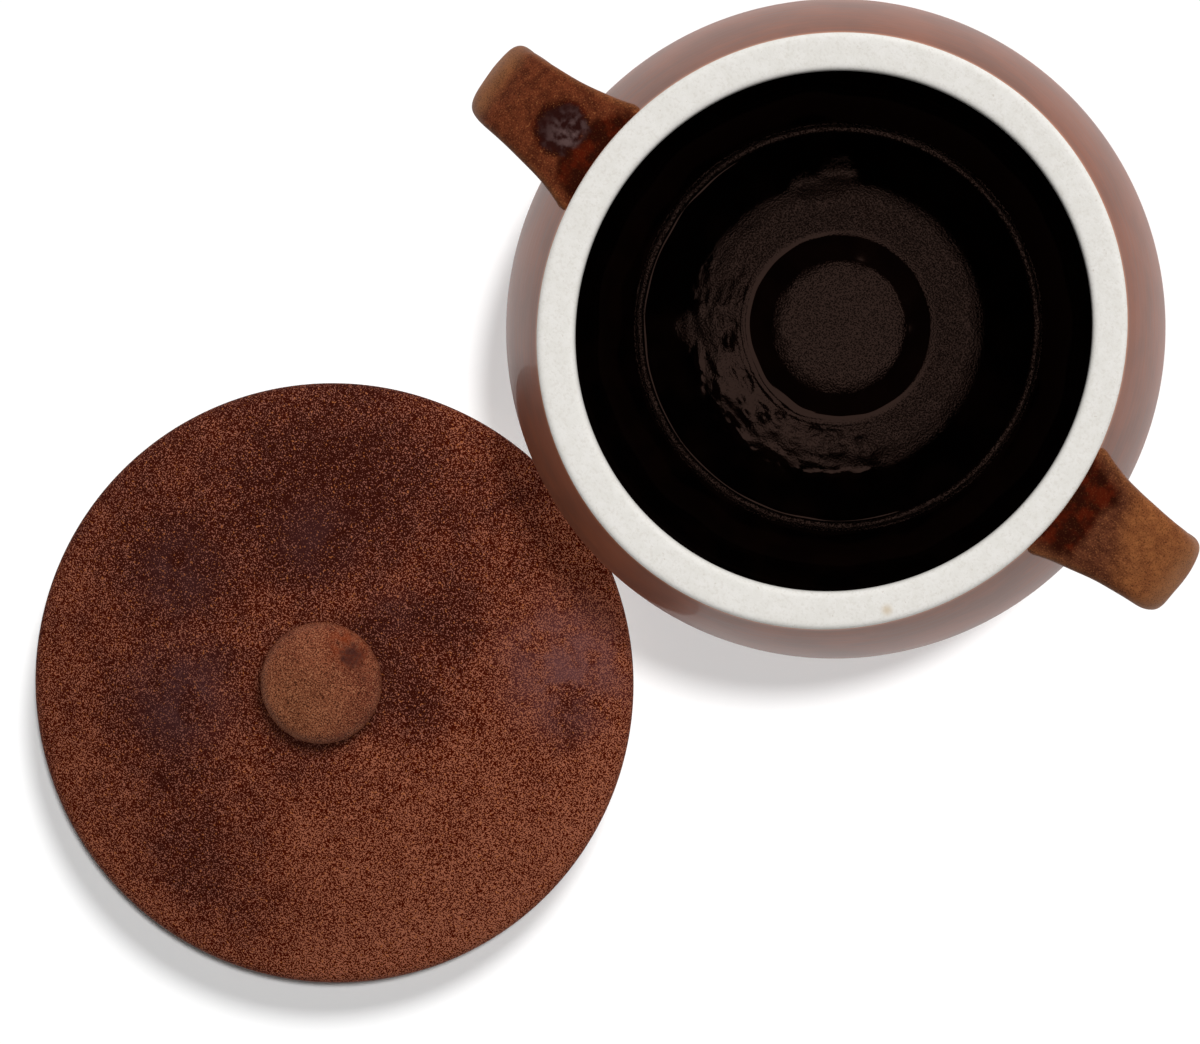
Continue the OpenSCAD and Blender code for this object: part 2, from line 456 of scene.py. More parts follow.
def step(value, low, high):
    """0 below low, 1 above high and a smooth step between, for wires."""
    ends = {"Value": value, "From Min": low, "From Max": high}
    return value.node("MapRange", {"interpolation_type": "SMOOTHSTEP"}, ends)


def near(at, spot, radius):
    """1 at a spot, fading softly to 0 at a radius round it."""
    return step(at.vector("DISTANCE", spot, "Value"), radius, 0)


def mix(first, second, share):
    """A colour between two colours."""
    return share.node("Mix", {"data_type": "RGBA"}, {0: share, 6: first, 7: second}, out=2)


def bump(height, strength, depth):
    """A shading normal from a height."""
    return height.node("Bump", sockets={"Height": height, "Strength": strength, "Distance": depth})


print("finishes: made of noise, steps, spots, mixed colours and bumps")

# %% [markdown]
# The rim was wiped clean before firing, so it shows bare cream stoneware: matt, slightly uneven, with a
# few specks of iron. Plain white would look like plastic, so the clay gets a cloud of two near creams,
# rare dark specks and a fine grain that the light can catch.

# %% Bare clay
RIM_STAIN_PX = (887, 610)
RIM_STAIN_R = 0.0022

bare_clay, clay_shader, clay = new_finish("bare_clay", {"IOR": 1.45, "Specular IOR Level": 0.15})
clay_at = place(clay)
clay_cloud = step(noise(clay_at, 0.0026, 3), 0.32, 0.68)
clay_grain = noise(clay_at, 0.0007, 3)
clay_speck = step(noise(clay_at, 0.0011), 0.71, 0.76)
clay_colour = mix(srgb(221, 218, 212), srgb(226, 223, 218), clay_cloud)
clay_colour = mix(clay_colour, srgb(208, 203, 195), step(clay_grain, 0.52, 0.3) * 0.5)
clay_colour = mix(clay_colour, srgb(188, 178, 165), clay_speck * 0.5)
rim_stain = near(clay_at, spot_at(RIM_STAIN_PX, RIM_Z), RIM_STAIN_R)
clay_colour = mix(clay_colour, srgb(196, 176, 146), rim_stain * 0.7)
clay_bump = bump(clay_grain, 0.25, 0.0002)
plug(clay_shader, {"Base Color": clay_colour, "Roughness": 0.8 + 0.15 * clay_grain, "Normal": clay_bump})
print("finish:", bare_clay.name)

# %% [markdown]
# Outside, the crock wears a glossy red-brown glaze. Most of what the eye sees on the shoulder is the
# white paper mirrored at a flat angle, which the shader's own reflection gives for free, so the colour
# underneath stays deep. A thin clear coat adds the sharp part of the gloss. The glaze thins to orange at
# the rim and the foot, and keeps faint rings from the wheel.

# %% Brown gloss glaze
GLAZE_TOP_Z = RIM_Z - 0.0015
FOOT_LINE_Z = 0.0027
RING_STRETCH = (0.03, 0.03, 1.0)

brown_coat = {"IOR": 1.48, "Specular Tint": (1.0, 0.65, 0.52, 1), "Coat Weight": 0.1, "Coat Roughness": 0.07}
brown_gloss, brown_shader, brown = new_finish("brown_gloss_glaze", brown_coat)
brown_at = place(brown)
brown_z = brown.node("SeparateXYZ", sockets={0: brown_at}, out="Z")
wheel_rings = noise(brown_at.vector("MULTIPLY", RING_STRETCH), 0.0011, 3)
brown_cloud = noise(brown_at, 0.018, 3)
deep_brown = mix(srgb(94, 42, 13), srgb(118, 55, 20), step(0.6 * brown_cloud + 0.4 * wheel_rings, 0.38, 0.62))
thin_top = step(brown_z, GLAZE_TOP_Z - 0.0016, GLAZE_TOP_Z + 0.0002)
thin_foot = 1 - step(brown_z, FOOT_LINE_Z, FOOT_LINE_Z + 0.003)
brown_colour = mix(deep_brown, srgb(176, 112, 74), thin_top.math("MAXIMUM", thin_top, thin_foot) * 0.8)
brown_rough = 0.42 + 0.1 * wheel_rings
brown_bump = bump(wheel_rings + 0.5 * noise(brown_at, 0.0025), 0.12, 0.0002)
plug(brown_shader, {"Base Color": brown_colour, "Roughness": brown_rough, "Normal": brown_bump})
print("finish:", brown_gloss.name)

# %% [markdown]
# Inside, the same glaze lies so thick that it is almost black. The only light that comes back is the sky
# above the mouth, mirrored by the flat places of the floor, with a warm tint. A near-black colour with a
# tinted, weak mirror gives exactly that, and the shape of the floor does the rest. Fine pits dull the
# flat places, less so on the side that is hammered.

# %% Black liner glaze
PHOTO_TOP = ROLL + math.pi / 2
PHOTO_LEFT = ROLL + math.pi
HAMMERED = PHOTO_LEFT + math.radians(38)
HAMMERED_R = 0.034
HAMMERED_REACH = 0.045
DENT_Z = 0.013
# Each dent has its heading, its distance from the axis and its half length.
DENTS = {
    "top": (PHOTO_TOP, 0.0422, 0.0040),
    "beside": (PHOTO_TOP + 0.23, 0.0405, 0.0030),
    "left": (PHOTO_LEFT, 0.0405, 0.0032),
}


def floor_spot(heading, radius):
    """A place on the floor of the crock."""
    return Vector((radius * math.cos(heading), radius * math.sin(heading), DENT_Z))


liner_mirror = {"IOR": 1.5, "Specular IOR Level": 0.35, "Specular Tint": (1.0, 0.57, 0.45, 1)}
black_liner, liner_shader, liner = new_finish("black_liner_glaze", liner_mirror)
liner_at = place(liner)
liner_cloud = noise(liner_at, 0.012, 3)
liner_colour = mix((0.0002, 0.0001, 0.0001, 1), (0.0008, 0.0003, 0.0002, 1), step(liner_cloud, 0.4, 0.65))
liner_away = liner_at.vector("MULTIPLY", (1, 1, 0)).vector("LENGTH", out="Value")
in_moat = step(liner_away, 0.025, 0.0275) * step(liner_away, 0.042, 0.036)
hammered_side = near(liner_at, floor_spot(HAMMERED, HAMMERED_R), HAMMERED_REACH)
in_moat = in_moat * (1 - 0.62 * hammered_side)
on_bead = step(liner_away, 0.0532, 0.0538) * step(liner_away, 0.0562, 0.0554)
on_boss = step(liner_away, 0.0195, 0.0165)
fine_pits = noise(liner_at, 0.0005, 1)
grainy = 0.65 * in_moat + 0.5 * on_boss + 0.7 * on_bead
for heading, at, length in DENTS.values():
    grainy = grainy + 0.6 * near(liner_at, floor_spot(heading, at), 2 * length)
liner_bump = bump(fine_pits * grainy, 1, 0.0004)
liner_rough = 0.05 + 0.05 * liner_cloud + step(fine_pits, 0.48, 0.6) * (grainy - 0.15 * in_moat)
plug(liner_shader, {"Base Color": liner_colour, "Roughness": liner_rough, "Normal": liner_bump})
print("finish:", black_liner.name)

# %% [markdown]
# Now the crock itself. Its outline comes from the frame, with the sharp CAD corners worn a little as any
# glazed corner is. The rings lie close together on the floor and the rim, where small shapes show, and
# further apart on the plain walls.

# %% The crock's outline
BANK_TOP_R = 0.0545
BEAD_HALF = 0.0025
FLOOR_TOP_Z = 0.03
RING_STEPS = {"bead": 0.00016, "floor": 0.0003, "inside": 0.002, "rim": 0.0005, "outside": 0.001}
HIDDEN_STEP = 0.0015

crock_axis = middle_of("crock_body")
crock_fine = worn(fine_outlines["crock_body"], 3)
fine_r, fine_z = crock_fine.T
order = np.arange(len(crock_fine))
on_rim = np.flatnonzero(fine_z > GLAZE_TOP_Z)
is_inside = order > on_rim[-1]
is_bead = is_inside & (abs(fine_r - BANK_TOP_R) < BEAD_HALF) & (fine_z < FLOOR_TOP_Z)
is_floor = is_inside & (fine_r < BANK_TOP_R) & (fine_z < FLOOR_TOP_Z)
is_rim = (order >= on_rim[0]) & ~is_inside
is_outside = (order < on_rim[0]) & (order > np.argmin(fine_z)) & (fine_z > FOOT_LINE_Z)
places = [is_bead, is_floor, is_inside, is_rim, is_outside]
crock_spacing = np.select(places, list(RING_STEPS.values()), HIDDEN_STEP)
crock_outline = spaced(crock_fine, crock_spacing)
print("crock outline:", len(crock_outline), "rings")

# %% [markdown]
# Nothing thrown by hand is quite round. Seen from above the rim is a little oval, the mouth sits a little
# to one side, and a fine spiral line from the fingers winds up the outside. A bump map could fake the
# line, but the outline of the rim is real, so all three go into the mesh.

# %% Out of round
OVAL_RIM = 0.0165
OVAL_MOUTH = 0.0125
MOUTH_SHIFT = (0.00037, 0.00026)
BOSS_SHIFT = (0.00048, 0.0012)
SPIRAL_PITCH = 0.0034
SPIRAL_DEPTH = 0.000006
BELLY_Z = float(fine_z[np.argmax(fine_r)])


def eased(value, low, high):
    """0 below low, 1 above high and a smooth step between, for arrays."""
    t = np.clip((value - low) / (high - low), 0, 1)
    return t * t * (3 - 2 * t)


crock_r, crock_z, crock_a = turned_grid(crock_outline)
ring_index = np.arange(len(crock_outline))
rim_rings = np.flatnonzero(crock_outline[:, 1] > GLAZE_TOP_Z)
inward = eased(ring_index, rim_rings[0], rim_rings[-1])[:, None]
upward = eased(crock_z, BELLY_Z, RIM_Z)
oval = (OVAL_RIM + (OVAL_MOUTH - OVAL_RIM) * inward) * upward
crock_r *= 1 - oval * np.cos(2 * crock_a)
low_fade = eased(crock_z, 0.01, 0.02)
top_fade = eased(crock_z, RIM_Z - 0.003, RIM_Z - 0.01)
on_wall = (ring_index < rim_rings[0])[:, None] * low_fade * top_fade
crock_r += SPIRAL_DEPTH * on_wall * np.cos(math.tau * crock_z / SPIRAL_PITCH - crock_a)
print(f"rim: {2000 * np.ptp(crock_r[rim_rings[0]]):.1f} mm longer one way than the other")

# %% [markdown]
# The floor is where a glossy black glaze tells everything: flat places mirror the sky above the mouth,
# and slopes mirror the dark wall. So a bright line is a narrow flat, and a dark patch is a dent. The
# turned boss and moat have uneven edges, the moat is hammered on one side, and a bead runs where the
# floor meets the wall.

# %% Shapes for the floor
def turn_from(angle, heading):
    """Turn away from a heading, up to half a turn either way."""
    return (angle - heading + math.pi) % math.tau - math.pi


def hump(value, middle, width):
    """1 at the middle, fading to 0 on both sides."""
    return np.exp(-(((value - middle) / width) ** 2))


def flat_ring(radius, at, width, slope):
    """Height that flattens a slope in a narrow ring."""
    return -slope * (radius - at) * hump(radius, at, width)


def softened(radius, at, width):
    """Extra height that turns a crease into a soft bend, for a slope of one."""
    bend = np.logaddexp(0, (radius - at) / width) * width
    return bend - np.maximum(0, radius - at)


def ripple(x, y, size, seed, waves=24):
    """Smooth uneven ripple of about unit height, from waves in chosen directions."""
    rng = np.random.default_rng(seed)
    heading, phase = rng.uniform(0, math.tau, (2, waves))
    pitch = math.tau / size * rng.uniform(0.6, 1.5, waves)
    total = sum(np.cos(p * (x * math.cos(h) + y * math.sin(h)) + f) for p, h, f in zip(pitch, heading, phase))
    return total / math.sqrt(waves / 2)


print("floor shapes: humps, flat rings, soft bends and ripples")

# %% Marks on the floor
BOSS_R = 0.0165
MOAT_IN_R = 0.0255
MOAT_OUT_R = 0.038
BANK_SLOPE = 0.485
LIFT_END_R = 0.072
BOSS_SLOPE = 0.222
MOAT_WIDE = ROLL + math.radians(30)
BOSS_WOBBLE = 0.00032
MOAT_WOBBLE = 0.0001
BEAD_WOBBLE = 0.00012
BEAD_W = 0.0008
BEAD_W_SPREAD = 0.00015
SECOND_BEAD_IN = 0.0013
SECOND_BEAD_W = 0.0004
BANK_FOOT_IN = 0.0027
BANK_FOOT_SWING = 0.0005
BANK_FOOT_SOFT = 0.0010
BOSS_SOFT = 0.0004
DENT_HALF = 0.0018
DENT_SLOPE = 0.26

floor_part = (ring_index > rim_rings[-1])[:, None] * (crock_z < FLOOR_TOP_Z)
round_x, round_y = np.cos(crock_a), np.sin(crock_a)
plain_r = crock_r.copy()
crock_r += floor_part * BOSS_WOBBLE * ripple(round_x, round_y, 0.45, 22) * hump(plain_r, BOSS_R, 0.003)
crock_r += floor_part * MOAT_WOBBLE * ripple(round_x, round_y, 0.5, 24) * hump(plain_r, MOAT_IN_R, 0.002)

left_side = eased(np.cos(turn_from(crock_a, PHOTO_LEFT + 0.4)), -0.1, 0.6)
bead_r = BANK_TOP_R + BEAD_WOBBLE * ripple(round_x, round_y, 0.3, 26)
bead_w = BEAD_W + BEAD_W_SPREAD * ripple(round_x, round_y, 0.5, 27)
marks = flat_ring(plain_r, bead_r, bead_w, BANK_SLOPE)
marks += left_side * flat_ring(plain_r, bead_r - SECOND_BEAD_IN, SECOND_BEAD_W, BANK_SLOPE)
foot_swing = ripple(round_x, round_y, 0.4, 21) - np.cos(crock_a - MOAT_WIDE)
foot_in = BANK_FOOT_IN + BANK_FOOT_SWING * foot_swing
foot_r = MOAT_OUT_R - foot_in
in_bowl = (ring_index > rim_rings[-1])[:, None] * (crock_z < BELLY_Z)
up_wall = eased(plain_r, LIFT_END_R, BANK_TOP_R)
crock_z += in_bowl * BANK_SLOPE * np.clip(plain_r - foot_r, 0, foot_in) * up_wall
marks += BANK_SLOPE * softened(plain_r, foot_r, BANK_FOOT_SOFT) * hump(plain_r, foot_r, 0.009)
marks -= BOSS_SLOPE * softened(plain_r, BOSS_R, BOSS_SOFT) * hump(plain_r, BOSS_R, 0.004)
for heading, at, length in DENTS.values():
    marks += flat_ring(plain_r, at, DENT_HALF, DENT_SLOPE) * hump(turn_from(crock_a, heading) * at, 0, length)
print(f"floor: rings and dents up to {1000 * abs(floor_part * marks).max():.2f} mm")

# %% Hammered side of the moat
PITS = 130
PIT_DEPTH = 0.00038
PIT_SPAN = 1.15
PIT_BAND = (0.0285, 0.0415)
PIT_SIZES = (0.45, 1.0)
PIT_L = 0.0012
PIT_W = 0.0021
LINES_R = 0.0276
LINES_HALF = 0.0016
LINE_PITCH = 0.0014
LINE_DEPTH = 0.00009
UNEVEN_DEPTH = 0.00003

rng = np.random.default_rng(6)
pit_a = HAMMERED + rng.uniform(-PIT_SPAN, PIT_SPAN, PITS)
pit_r = rng.uniform(*PIT_BAND, PITS)
for at_a, at_r, size in zip(pit_a, pit_r, rng.uniform(*PIT_SIZES, PITS)):
    pit = hump(plain_r, at_r, PIT_L * size) * hump(turn_from(crock_a, at_a) * at_r, 0, PIT_W * size)
    marks -= PIT_DEPTH * size * pit
off_hammered = abs(turn_from(crock_a, HAMMERED))
turned_lines = eased(off_hammered, 1.6, 0.8) * hump(plain_r, LINES_R, LINES_HALF)
line_turn = math.tau * plain_r / LINE_PITCH + ripple(round_x, round_y, 0.8, 25)
marks += LINE_DEPTH * turned_lines * np.cos(line_turn)
uneven = eased(off_hammered, 1.5, 0.8) * eased(plain_r, 0.0265, 0.03) * eased(plain_r, 0.044, 0.039)
marks += UNEVEN_DEPTH * uneven * ripple(plain_r * round_x, plain_r * round_y, 0.0026, 23)
crock_z += floor_part * marks
print(f"moat: {PITS} pits")

# %% The crock
OUTSIDE, CLAY, LINER = range(3)
FOOT_RING_R = 0.05
SHIFT_FADE = (0.048, 0.03)

crock_points = grid_points(crock_r, crock_z, crock_a, crock_axis)
crock_points[..., :2] += (inward * upward)[..., None] * np.array(MOUTH_SHIFT)
crock_points[..., :2] += (floor_part * eased(plain_r, *SHIFT_FADE))[..., None] * np.array(BOSS_SHIFT)
underneath = ring_index < np.argmax(crock_outline[:, 0] > FOOT_RING_R)
bare_foot = (crock_outline[:, 1] < FOOT_LINE_Z) | underneath
in_zone = [crock_outline[:, 1] > GLAZE_TOP_Z, ring_index > rim_rings[-1], bare_foot]
crock_zones = np.select(in_zone, [CLAY, LINER, CLAY], OUTSIDE)
crock = turned_piece("crock", crock_points, crock_zones, [brown_gloss, bare_clay, black_liner])
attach(crock, "crock")
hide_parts("crock_body")
crock_shadows.link(crock)

# %% [markdown]
# A handle is a strap of clay, pulled by hand, bent into an ear and pressed on to the wall. It could be a
# curve with a bevel, but the strap widens towards its roots, so it is swept in code: a section that is an
# ellipse with flattened sides, carried along the same curve that the CAD solid follows. The ends sink
# into the wall.

# %% Strap sizes
STRAP_W = 0.021
STRAP_T = 0.010
ROOT_W = 0.0305
LOW_ROOT_W = 0.023
ROOT_T = 0.014
ROOT_RUN = 0.0145
FLARE_IN = 0.0025
BEND_START_R = 0.075
HANDLE_H = 0.044
HANDLE_DROP = 0.010
HANDLE_MID_Z = RIM_Z - HANDLE_DROP - HANDLE_H / 2
HANDLE_OUT_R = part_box("right_handle")[1].x - STRAP_T / 2
HANDLE_IN_R = 0.071
BEND_SQUARE = 0.7
SECTION_SQUARE = 0.62
STRAP_RINGS = 150
STRAP_SIDES = 72
SINK = 0.0025
ROOT_SQUARE = 0.2
ROOT_RISE = 0.0018
RISE_RUN = 0.004
END_SQUARE = 0.84
END_RUN = 0.006
DISH = 0.0004
UNEVEN = 0.00009
LUMP_T = 0.011
LUMP_W = 0.016

outside_rings = (ring_index < rim_rings[0]) & (crock_outline[:, 1] > FOOT_LINE_Z)


def wall_radius(z, angle):
    """Radius of the crock's outside, oval and all."""
    plain = np.interp(z, crock_outline[outside_rings, 1], crock_outline[outside_rings, 0])
    return plain * (1 - OVAL_RIM * eased(z, BELLY_Z, RIM_Z) * np.cos(2 * angle))


def bulge(value, power):
    """A power that keeps the sign of its base."""
    return np.sign(value) * abs(value) ** power


print(f"strap: {1000 * STRAP_W:.0f} mm wide, {1000 * ROOT_W:.1f} mm at its upper root")

# %% The strap's run
BEND_POINTS = 4001

swing = np.linspace(math.pi / 2, -math.pi / 2, BEND_POINTS)
bend_r = BEND_START_R + (HANDLE_OUT_R - BEND_START_R) * bulge(np.cos(swing), BEND_SQUARE)
bend_z = HANDLE_MID_Z + HANDLE_H / 2 * bulge(np.sin(swing), BEND_SQUARE)
run_r = np.concatenate([[HANDLE_IN_R], bend_r, [HANDLE_IN_R]])
run_z = np.concatenate([bend_z[:1], bend_z, bend_z[-1:]])
run_length = np.concatenate([[0], np.cumsum(np.hypot(np.diff(run_r), np.diff(run_z)))])
even = np.linspace(0, run_length[-1], STRAP_RINGS)
strap_run = np.column_stack([np.interp(even, run_length, run_r), np.interp(even, run_length, run_z)])
strap_way = np.gradient(strap_run, axis=0)
strap_way /= np.linalg.norm(strap_way, axis=1, keepdims=True)
print(f"strap's run: {1000 * run_length[-1]:.0f} mm of clay in each handle")

# %% Width and thickness along the strap
off_root = strap_run[:, 0] - wall_radius(strap_run[:, 1], 0)
root_share = np.exp(-np.maximum(off_root, 0) / ROOT_RUN)
flare_share = np.exp(-np.maximum(off_root, -FLARE_IN) / ROOT_RUN)
height_share = bulge(np.clip((strap_run[:, 1] - HANDLE_MID_Z) / (HANDLE_H / 2), -1, 1), 1 / BEND_SQUARE)
near_w = LOW_ROOT_W + (ROOT_W - LOW_ROOT_W) * (1 + height_share) / 2
half_w = (STRAP_W + (near_w - STRAP_W) * flare_share) / 2
half_t = (STRAP_T + (ROOT_T - STRAP_T) * root_share) / 2
square = (SECTION_SQUARE + (ROOT_SQUARE - SECTION_SQUARE) * root_share)[:, None]
square_end = eased(strap_run[:, :1], HANDLE_OUT_R - END_RUN, HANDLE_OUT_R)
square = square + (END_SQUARE - SECTION_SQUARE) * square_end
print(f"half widths: {1000 * half_w.min():.1f} to {1000 * half_w.max():.1f} mm")


# %% Sweeping a strap
def strap_piece(name, turn, seed, finish):
    """One handle, turned about the crock's axis to its own side."""
    side = np.arange(STRAP_SIDES) * (math.tau / STRAP_SIDES)
    across = bulge(np.cos(side), square)
    thick = bulge(np.sin(side), square)
    y = half_w[:, None] * across
    v = half_t[:, None] * thick - DISH * np.maximum(thick, 0) * (1 - across**2)
    v += UNEVEN * ripple(y, even[:, None], LUMP_T, seed)
    y = y + UNEVEN * ripple(v, even[:, None], LUMP_W, seed + 1)
    x = strap_run[:, :1] - strap_way[:, 1:] * v
    z = strap_run[:, 1:] + strap_way[:, :1] * v
    off_wall = np.hypot(x, y) - wall_radius(z, np.arctan2(y, x))
    at_root = np.exp(-np.maximum(off_wall, 0) / RISE_RUN)
    z = z + ROOT_RISE * np.maximum(thick * height_share[:, None], 0) * at_root
    wall = wall_radius(z, np.arctan2(y, x))
    pull = np.maximum(1, (wall - SINK) / np.hypot(x, y))
    turned = np.array(Matrix.Rotation(-turn, 3, "Z"))
    points = np.stack([x * pull, y * pull, z], axis=-1).reshape(-1, 3) @ turned
    here = np.arange(STRAP_SIDES)
    after = (here + 1) % STRAP_SIDES
    starts = STRAP_SIDES * np.arange(STRAP_RINGS - 1)[:, None]
    corners = [starts + here, starts + STRAP_SIDES + here, starts + STRAP_SIDES + after, starts + after]
    quads = np.stack(corners, axis=-1).reshape(-1, 4).tolist()
    last = STRAP_SIDES * (STRAP_RINGS - 1)
    piece = new_piece(name, points, quads + [here.tolist(), (last + here[::-1]).tolist()])
    for attribute, values in (("off_wall", off_wall), ("across", abs(across)), ("crown", thick)):
        layer = piece.data.attributes.new(attribute, "FLOAT", "POINT")
        layer.data.foreach_set("value", values.reshape(-1).astype(np.float32))
    piece.data.materials.append(finish)
    print(f"{name}: {len(piece.data.polygons)} faces")
    return piece


print("sweep: each vertex keeps its distance off the wall and its place on the strap")

# %% [markdown]
# The handles wear the same brown glaze, but it ran: it is thin and tan on the outer bend and along the edges,
# and it pooled dark where the strap meets the wall, with one thick glossy drop on the left handle, whose
# grey highlight is painted into its colour.
# The sweep left three numbers on every vertex, so the finish can follow the clay.

# %% Amber breaking glaze
HANDLE_TOP_Z = HANDLE_MID_Z + HANDLE_H / 2 + STRAP_T / 2
DROP_PX = (562, 128)
# Pixel of the drop's painted highlight.
DROP_HIGHLIGHT_PX = (571, 135)
DROP_R = 0.0100
WARM_MIRROR = (1.0, 0.6, 0.48, 1)

amber_gloss = {
    "Specular IOR Level": 0.04,
    "Specular Tint": WARM_MIRROR,
    "Coat Roughness": 0.16,
    "Coat IOR": 1.9,
}
amber_break, amber_shader, amber = new_finish("amber_break_glaze", amber_gloss)
amber_at = place(amber)
amber_x = amber.node("SeparateXYZ", sockets={0: amber_at}, out="X")
amber_y = amber_x.also("Y")
off_wall = amber.node("Attribute", {"attribute_name": "off_wall"}, out="Fac")
strap_edge = amber.node("Attribute", {"attribute_name": "across"}, out="Fac")
strap_crown = amber.node("Attribute", {"attribute_name": "crown"}, out="Fac")
on_left = step(amber_x, 0.01, -0.01)
on_top = step(strap_crown, 0.2, 0.8)
mottle = noise(amber_at, 0.0026, 4)
grain = noise(amber_at, 0.0004, 1)
drift = noise(amber_at, 0.008, 2) - 0.5
print("finish:", amber_break.name, "reads off_wall, across and crown from the strap")

# %% Where the glaze ran
far_out = step(off_wall + 0.014 * drift + 0.5 * amber_y * (1 - on_left) - 0.014 * on_left, 0.0115, 0.022)
at_end = step(off_wall, 0.0255, 0.030)
thin_edge = step(strap_edge + 0.1 * mottle, 0.88, 1.06)
pooled = step(off_wall + 0.002 * on_left + 0.007 * drift, 0.0092, 0.0068)
pooled = pooled * step(strap_edge + 0.5 * drift, 0.92, 0.62) * on_top
drop_near = near(amber_at, spot_at(DROP_PX, HANDLE_TOP_Z), DROP_R) * on_top * on_left
drop_shape = drop_near + 0.9 * (noise(amber_at, 0.0045, 3) - 0.5)
drop = step(drop_shape, 0.12, 0.5) * step(drop_near, 0, 0.2)
drop_halo = step(drop_shape, -0.2, 0.3) * step(drop_near, 0, 0.25)
print("runs: thin at the edges and the outer bend, pooled at the wall, one drop")

# %% Colours of the handles
patchy = step(mottle, 0.36, 0.64)
right_brown = mix(srgb(72, 37, 23), srgb(90, 49, 31), patchy)
left_rust = mix(srgb(76, 34, 19), srgb(98, 47, 27), patchy)
tan_end = mix(srgb(118, 68, 38), srgb(136, 82, 46), patchy)
strap_colour = mix(mix(right_brown, left_rust, on_left), tan_end, far_out)
strap_colour = mix(mix(strap_colour, srgb(134, 84, 50), thin_edge * 0.5), srgb(158, 104, 62), at_end * 0.6)
pool_colour = mix(srgb(30, 4, 1), srgb(70, 17, 4), step(noise(amber_at, 0.004, 3), 0.42, 0.68))
strap_colour = mix(strap_colour, pool_colour, pooled.math("MAXIMUM", pooled, drop_halo) * 0.95)
# The drop's grey highlight is painted into its colour, and the same mask gives it a thin clear coat.
drop_highlight_spot = near(amber_at, spot_at(DROP_HIGHLIGHT_PX, HANDLE_TOP_Z), DROP_R)
drop_gloss_and_painted_highlight = drop * drop_highlight_spot * step(noise(amber_at, 0.0022, 3), 0.38, 0.66)
strap_colour = mix(mix(strap_colour, srgb(34, 13, 11), drop * 0.95), srgb(88, 66, 64), drop_gloss_and_painted_highlight * 0.85)
calm = (1 - 0.7 * pooled) * (1 - drop)
dark_grain = step(grain, 0.5, 0.28) * 0.58 * calm
light_grain = step(grain, 0.56, 0.78) * 0.4 * calm
strap_colour = mix(mix(strap_colour, srgb(38, 14, 7), dark_grain), srgb(168, 106, 64), light_grain)
amber_rough = 0.5 - 0.15 * pooled
amber_bump = bump(mottle + 0.6 * grain, 0.2, 0.0003)
plug(amber_shader, {"Base Color": strap_colour, "Roughness": amber_rough})
plug(amber_shader, {"Coat Weight": drop_gloss_and_painted_highlight * 0.1, "Normal": amber_bump})
print("finish:", amber_break.name)

# %% The handles
LEFT_TURN = math.radians(178.9)
# Each handle has the node that it stands for, its turn about the crock's axis and a seed for its lumps.
HANDLES = {"strap_right": ("right_handle", 0, 3), "strap_left": ("left_handle", LEFT_TURN, 8)}

for handle_name, (node_name, turn, seed) in HANDLES.items():
    handle = strap_piece(handle_name, turn, seed, amber_break)
    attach(handle, "crock")
    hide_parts(node_name)

# %% [markdown]
# The lid is dusted with a dry, speckled glaze: fine orange-brown grains on dark purple-brown. A picture
# would be quick, but it can't be looked at from close by. Here one fine noise gives the grains, and how
# many of them cross the line sets how light a place looks. The dust is thinner in a few clouds. The lid
# is also made lighter towards one side and at the edge, partly thicker dust and partly painted light,
# and a painted shade darkens it round the knob.

# %% Clouds in the dust
LID_TOP_Z = 0.028
# Each cloud has its pixel in the photo, its radius in metres and how much dust is missing.
THIN_DUST = {
    "far": ((338, 486), 0.041, 0.45),
    "far_low": ((306, 555), 0.022, 0.22),
    "left_high": ((186, 568), 0.024, 0.47),
    "left": ((173, 716), 0.028, 0.50),
    "left_near": ((235, 657), 0.0105, 0.45),
    "over_knob": ((387, 626), 0.017, 0.49),
    "past_knob": ((449, 616), 0.019, 0.46),
    "right_of_knob": ((415, 697), 0.020, 0.60),
    "under_knob": ((310, 727), 0.024, 0.46),
    "left_low": ((193, 851), 0.037, 0.40),
    "right": ((576, 726), 0.016, 0.52),
    "low_edge": ((240, 950), 0.031, 0.33),
    "upper_right": ((490, 510), 0.030, 0.11),
}
# Each patch of haze has its pixel in the photo, its radius in metres, its strength and its colour. The patch
# on the right is a painted sheen.
HAZE_AND_SHEEN = {
    "left": ((185, 693), 0.022, 0.50, srgb(72, 46, 48)),
    "left_high": ((178, 573), 0.017, 0.35, srgb(70, 44, 45)),
    "far_low": ((318, 540), 0.017, 0.30, srgb(70, 44, 45)),
    "past_knob": ((398, 613), 0.012, 0.30, srgb(70, 44, 45)),
    "right": ((572, 667), 0.028, 0.70, srgb(96, 62, 62)),
}
print("dust: thin in", len(THIN_DUST), "clouds, hazy in", len(HAZE_AND_SHEEN))

# %% Where the dust lies, with painted light and shade
DARKER_SIDE_PX = (300, 300)
LIGHTER_SIDE_PX = (340, 392)

